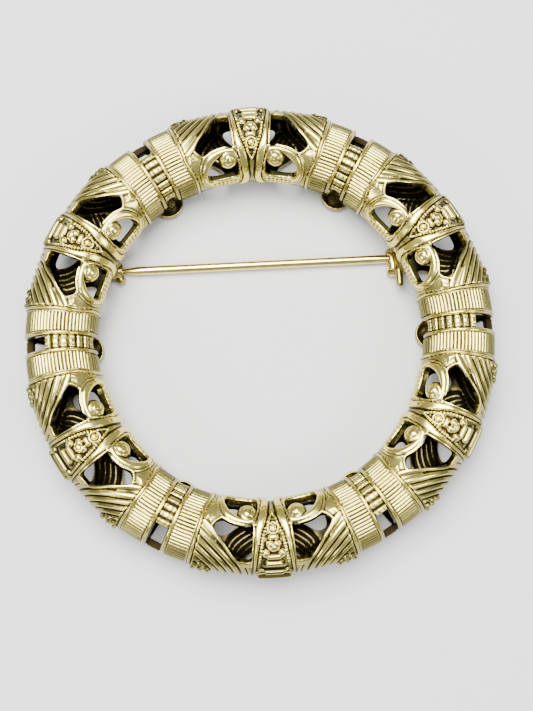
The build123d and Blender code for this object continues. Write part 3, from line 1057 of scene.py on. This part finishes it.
    def build(self, back: "PlatedFinish", wire: "PlatedFinish", rivet: "PlatedFinish") -> None:
        """Build and dress the five pieces, each in its own finish and on its own body.

        Args:
            back: finish of the bracket, the catch and the feet, darker than the front and darkened
                further as painted shade.
            wire: finish of the stem.
            rivet: finish of the rivet.
        """
        rows = (("pin_stem", self.stem(), wire, "pin", "pin_stem"),
                ("hinge_rivet", self.rivet_body(), rivet, "ring", "hinge_rivet"),
                ("hinge_bracket", self.bracket(), back, "ring", "back_shell"),
                ("pin_catch", self.catch(), back, "ring", "back_shell"),
                ("barrel_feet", self.feet(), back, "ring", "back_shell"))
        for name, (points, faces), finish, body, node in rows:
            piece = mesh_object(name, points, faces, sharp=40.0)
            piece.data.materials.append(finish.material())
            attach(piece, body)
            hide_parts(node)
            log.info("%s: %d faces", name, len(piece.data.polygons))


class Nodes:
    """A node tree under construction."""

    def __init__(self, tree: bpy.types.NodeTree) -> None:
        """Keep the tree to add to."""
        self.tree = tree

    def add(self, kind: str, settings: dict[str, object] | None = None,
            **inputs: object) -> bpy.types.Node:
        """Add a node and fill its sockets.

        Args:
            kind: the node's type name without its ShaderNode prefix.
            settings: properties of the node itself.
            **inputs: a value or an output socket for each input, by name, with _ for a
                space, or i0, i1 for a numbered one.

        Returns:
            The new node.
        """
        node = self.tree.nodes.new(kind if kind.startswith("Node") else "ShaderNode" + kind)
        for key, value in (settings or {}).items():
            setattr(node, key, value)
        for key, value in inputs.items():
            socket = node.inputs[int(key[1:])] if key[0] == "i" and key[1:].isdigit() else node.inputs[
                key.replace("_", " ")]
            if isinstance(value, bpy.types.NodeSocket):
                self.tree.links.new(value, socket)
            else:
                socket.default_value = value
        return node

    def math(self, operation: str, *values: object) -> bpy.types.NodeSocket:
        """Return the result of a Math node for values or sockets in their order."""
        inputs = {f"i{place}": value for place, value in enumerate(values)}
        return self.add("Math", {"operation": operation}, **inputs).outputs[0]

    def noise(self, place: bpy.types.NodeSocket, scale: float, detail: float,
              roughness: float) -> bpy.types.NodeSocket:
        """Return a noise texture's value at a place."""
        return self.add("TexNoise", None, Vector=place, Scale=scale, Detail=detail,
                        Roughness=roughness).outputs["Fac"]

    def span(self, value: bpy.types.NodeSocket, source: Pair, target: Pair,
             kind: str = "LINEAR") -> bpy.types.NodeSocket:
        """Return a value carried from one range to another, and held at its ends."""
        return self.add("MapRange", {"interpolation_type": kind}, Value=value, From_Min=source[0],
                        From_Max=source[1], To_Min=target[0], To_Max=target[1]).outputs[0]

    def mix(self, factor: bpy.types.NodeSocket, low: object, high: object) -> bpy.types.NodeSocket:
        """Return the low colour, running to the high one with the factor."""
        return self.add("Mix", {"data_type": "RGBA"}, Factor=factor, i6=low, i7=high).outputs[2]


def wear_and_shade_group() -> bpy.types.NodeTree:
    """Return the group that rubs plating bright on high places, leaves it dark in low ones and
    paints shade on the tube's sides.

    mask = smoothstep of (height over its surroundings + patches of noise) between 0.036 mm
    below them and level, and the colour runs from the patina to the plating with it. The
    plating is painted darker by up to two thirds on the low places of the tube's sides, as
    painted shade of the flanks, and inside the tube the lining takes over. roughness =
    polish + a share of the grain + 0.3 (1 - mask).

    Returns:
        The group, made once.
    """
    name = "rubbed_plating_and_painted_shade"
    if name in bpy.data.node_groups:
        return bpy.data.node_groups[name]
    tree = bpy.data.node_groups.new(name, "ShaderNodeTree")
    for label, kind in (("Worn", "Float"), ("Inside", "Float"), ("Side", "Float"), ("Plating", "Color"),
                        ("Patina", "Color"), ("Lining", "Color"), ("Polish", "Float")):
        tree.interface.new_socket(label, in_out="INPUT", socket_type=f"NodeSocket{kind}")
    for label, kind in (("Color", "Color"), ("Roughness", "Float"), ("Height", "Float")):
        tree.interface.new_socket(label, in_out="OUTPUT", socket_type=f"NodeSocket{kind}")
    make = Nodes(tree)
    given = make.add("NodeGroupInput").outputs
    place = make.add("TexCoord").outputs["Object"]
    patches = make.noise(place, 520.0, 5.0, 0.62)
    grain = make.noise(place, 5200.0, 3.0, 0.6)
    height = make.math("ADD", given["Worn"], make.math("MULTIPLY_ADD", patches, 0.06, -0.03))
    mask = make.span(height, (-0.036, 0.0), (0.0, 1.0), "SMOOTHSTEP")
    # painted shade: the plating darkens by up to 0.68 on the low places of the tube's sides
    painted_side_shade = make.math("MULTIPLY_ADD", given["Side"], -0.68, 1.0)
    tone = make.math("MULTIPLY", make.span(patches, (0.3, 0.7), (0.86, 1.06)), painted_side_shade)
    shaded = make.add("VectorMath", {"operation": "SCALE"}, i0=given["Plating"], Scale=tone).outputs[0]
    outside = make.mix(mask, given["Patina"], shaded)
    hidden = make.math("MULTIPLY", given["Inside"], make.span(given["Worn"], (0.0, 0.06), (1.0, 0.55)))
    color = make.mix(hidden, outside, given["Lining"])
    dull = make.span(mask, (0.0, 1.0), (0.30, 0.0))
    rough = make.math("ADD", make.math("MULTIPLY_ADD", grain, 0.16, dull), given["Polish"])
    out = make.add("NodeGroupOutput")
    for label, socket in (("Color", color), ("Roughness", rough), ("Height", grain)):
        tree.links.new(socket, out.inputs[label])
    return tree


@dataclass(frozen=True)
class PlatedFinish:
    """Antiqued plating: the colour of its high, low and hidden places, and its polish."""

    slot: str
    plating: Triple
    patina: Triple
    lining: Triple
    polish: float
    grain: float = 0.35

    def material(self) -> bpy.types.Material:
        """Return the material, made once for each slot.

        Returns:
            The material, with this finish's own values in the shared group.
        """
        name = f"{self.slot}_plating"
        if name in bpy.data.materials:
            return bpy.data.materials[name]
        material = bpy.data.materials.new(name)
        material.use_nodes = True
        make = Nodes(material.node_tree)
        shader = material.node_tree.nodes["Principled BSDF"]
        shader.inputs["Metallic"].default_value = 1.0
        # the side attribute carries the painted shade of the tube's flanks
        worn, inside, side = (make.add("Attribute", {"attribute_name": attribute}).outputs["Fac"]
                              for attribute in ("worn", "inside", "side"))
        wear = make.add("Group", {"node_tree": wear_and_shade_group()}, Worn=worn, Inside=inside, Side=side,
                        Plating=(*self.plating, 1.0), Patina=(*self.patina, 1.0), Lining=(*self.lining, 1.0),
                        Polish=self.polish)
        bump = make.add("Bump", None, Height=wear.outputs["Height"], Strength=self.grain, Distance=0.00002)
        links = material.node_tree.links
        links.new(wear.outputs["Color"], shader.inputs["Base Color"])
        links.new(wear.outputs["Roughness"], shader.inputs["Roughness"])
        links.new(bump.outputs["Normal"], shader.inputs["Normal"])
        return material


@dataclass(frozen=True)
class Studio:
    """The pale floor, the soft lights and the camera at the photograph's angle."""

    camera_place: Triple = (-0.00324, -0.02003, 0.11236)
    turn: Triple = (-0.1673, 0.0328, 0.0513)
    lens: float = 65.56
    floor_half: float = 3.0
    floor_color: Triple = (0.66, 0.66, 0.65)
    sky_color: Triple = (0.86, 0.92, 1.0)
    sky_strength: float = 0.50
    lights: tuple[tuple[str, Triple, float, float], ...] = (
        ("key", (-0.04, 0.07, 0.30), 0.22, 3.4), ("fill", (0.20, -0.10, 0.22), 0.12, 0.5),
        ("rim", (-0.20, -0.16, 0.18), 0.10, 0.4))

    def camera(self) -> None:
        """Place the camera: its axes are the rows of Rz Ry Rx for the three turns."""
        x, y, z = self.turn
        axes = Matrix.Rotation(z, 3, "Z") @ Matrix.Rotation(y, 3, "Y") @ Matrix.Rotation(x, 3, "X")
        data = bpy.data.cameras.new("camera")
        data.lens, data.sensor_width, data.clip_start, data.clip_end = self.lens, 36.0, 0.005, 50.0
        camera = bpy.data.objects.new("camera", data)
        camera.matrix_world = Matrix.Translation(self.camera_place) @ axes.transposed().to_4x4()
        bpy.context.scene.collection.objects.link(camera)
        bpy.context.scene.camera = camera

    def floor(self) -> None:
        """Lay the plain pale floor, a square in the plane z = 0."""
        h = self.floor_half / MM
        points = np.array([(-h, -h, 0), (h, -h, 0), (h, h, 0), (-h, h, 0)], float)
        floor = mesh_object("floor", points, np.array([[0, 1, 2, 3]]))
        material = bpy.data.materials.new("floor")
        material.use_nodes = True
        shader = material.node_tree.nodes["Principled BSDF"]
        shader.inputs["Base Color"].default_value = (*self.floor_color, 1.0)
        shader.inputs["Roughness"].default_value = 0.85
        floor.data.materials.append(material)

    def light(self, name: str, place: Triple, size: float, power: float) -> None:
        """Hang one square soft white light that faces the brooch.

        Args:
            name: the light's name.
            place: where it hangs, in metres.
            size: its side, in metres.
            power: its power, in watts.
        """
        data = bpy.data.lights.new(name, "AREA")
        data.shape, data.size, data.energy = "SQUARE", size, power
        lamp = bpy.data.objects.new(name, data)
        lamp.location = place
        lamp.rotation_euler = (-Vector(place)).to_track_quat("-Z", "Y").to_euler()
        bpy.context.scene.collection.objects.link(lamp)

    def build(self) -> None:
        """Set up the camera, the floor, the lights and the even sky."""
        self.camera()
        self.floor()
        world = bpy.data.worlds.new("studio")
        bpy.context.scene.world = world
        world.use_nodes = True
        sky = world.node_tree.nodes["Background"]
        sky.inputs["Color"].default_value = (*self.sky_color, 1.0)
        sky.inputs["Strength"].default_value = self.sky_strength
        for name, place, size, power in self.lights:
            self.light(name, place, size, power)
        log.info("studio: camera, floor and %d lights", len(self.lights))


def main() -> None:
    """Build every piece in order.
    """
    logging.basicConfig(level=logging.INFO, format="%(message)s")
    gold = PlatedFinish("antique_gold", plating=(0.89, 0.75, 0.20), patina=(0.020, 0.015, 0.006),
                        lining=(0.014, 0.011, 0.006), polish=0.12)
    # back plating: darker than the front, as the back plate is, and darkened further as painted shade on the
    # bracket, catch, feet and back shell, which lie in shade under the ring
    back = PlatedFinish("back_metal", plating=(0.36, 0.285, 0.085), patina=(0.025, 0.016, 0.005),
                        lining=(0.013, 0.010, 0.006), polish=0.18)
    wire = PlatedFinish("pin_wire", plating=(0.88, 0.69, 0.24), patina=(0.20, 0.14, 0.05),
                        lining=(0.2, 0.15, 0.08), polish=0.06, grain=0.15)
    rivet = PlatedFinish("rivet_metal", plating=(0.74, 0.57, 0.20), patina=(0.16, 0.11, 0.04),
                         lining=(0.2, 0.15, 0.08), polish=0.14)
    Studio().build()
    scale = 1.0
    fine = tuple((a, b, max(2, round(n * scale))) for a, b, n in (
        (0.0, 5.6, 22), (5.6, 19.6, 54), (19.6, 22.0, 14), (22.0, 26.4, 7), (26.4, 28.2, 12),
        (28.2, 30.0, 9)))
    plain = tuple((a, b, max(2, round(n * scale * 0.55))) for a, b, n in fine) if scale == 1.0 else fine
    Shell(Half.FRONT, "front_shell", "front_sector", fine, round(150 * scale), FrontRelief()).build(gold)
    Shell(Half.BACK, "back_shell", "back_sector", plain, round(84 * scale), BackRelief()).build(back)
    axis = [value / MM for value in frame["joints"][0]["pos_m"]]
    Findings(*axis).build(back, wire, rivet)
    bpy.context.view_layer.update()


if __name__ == "__main__":
    main()
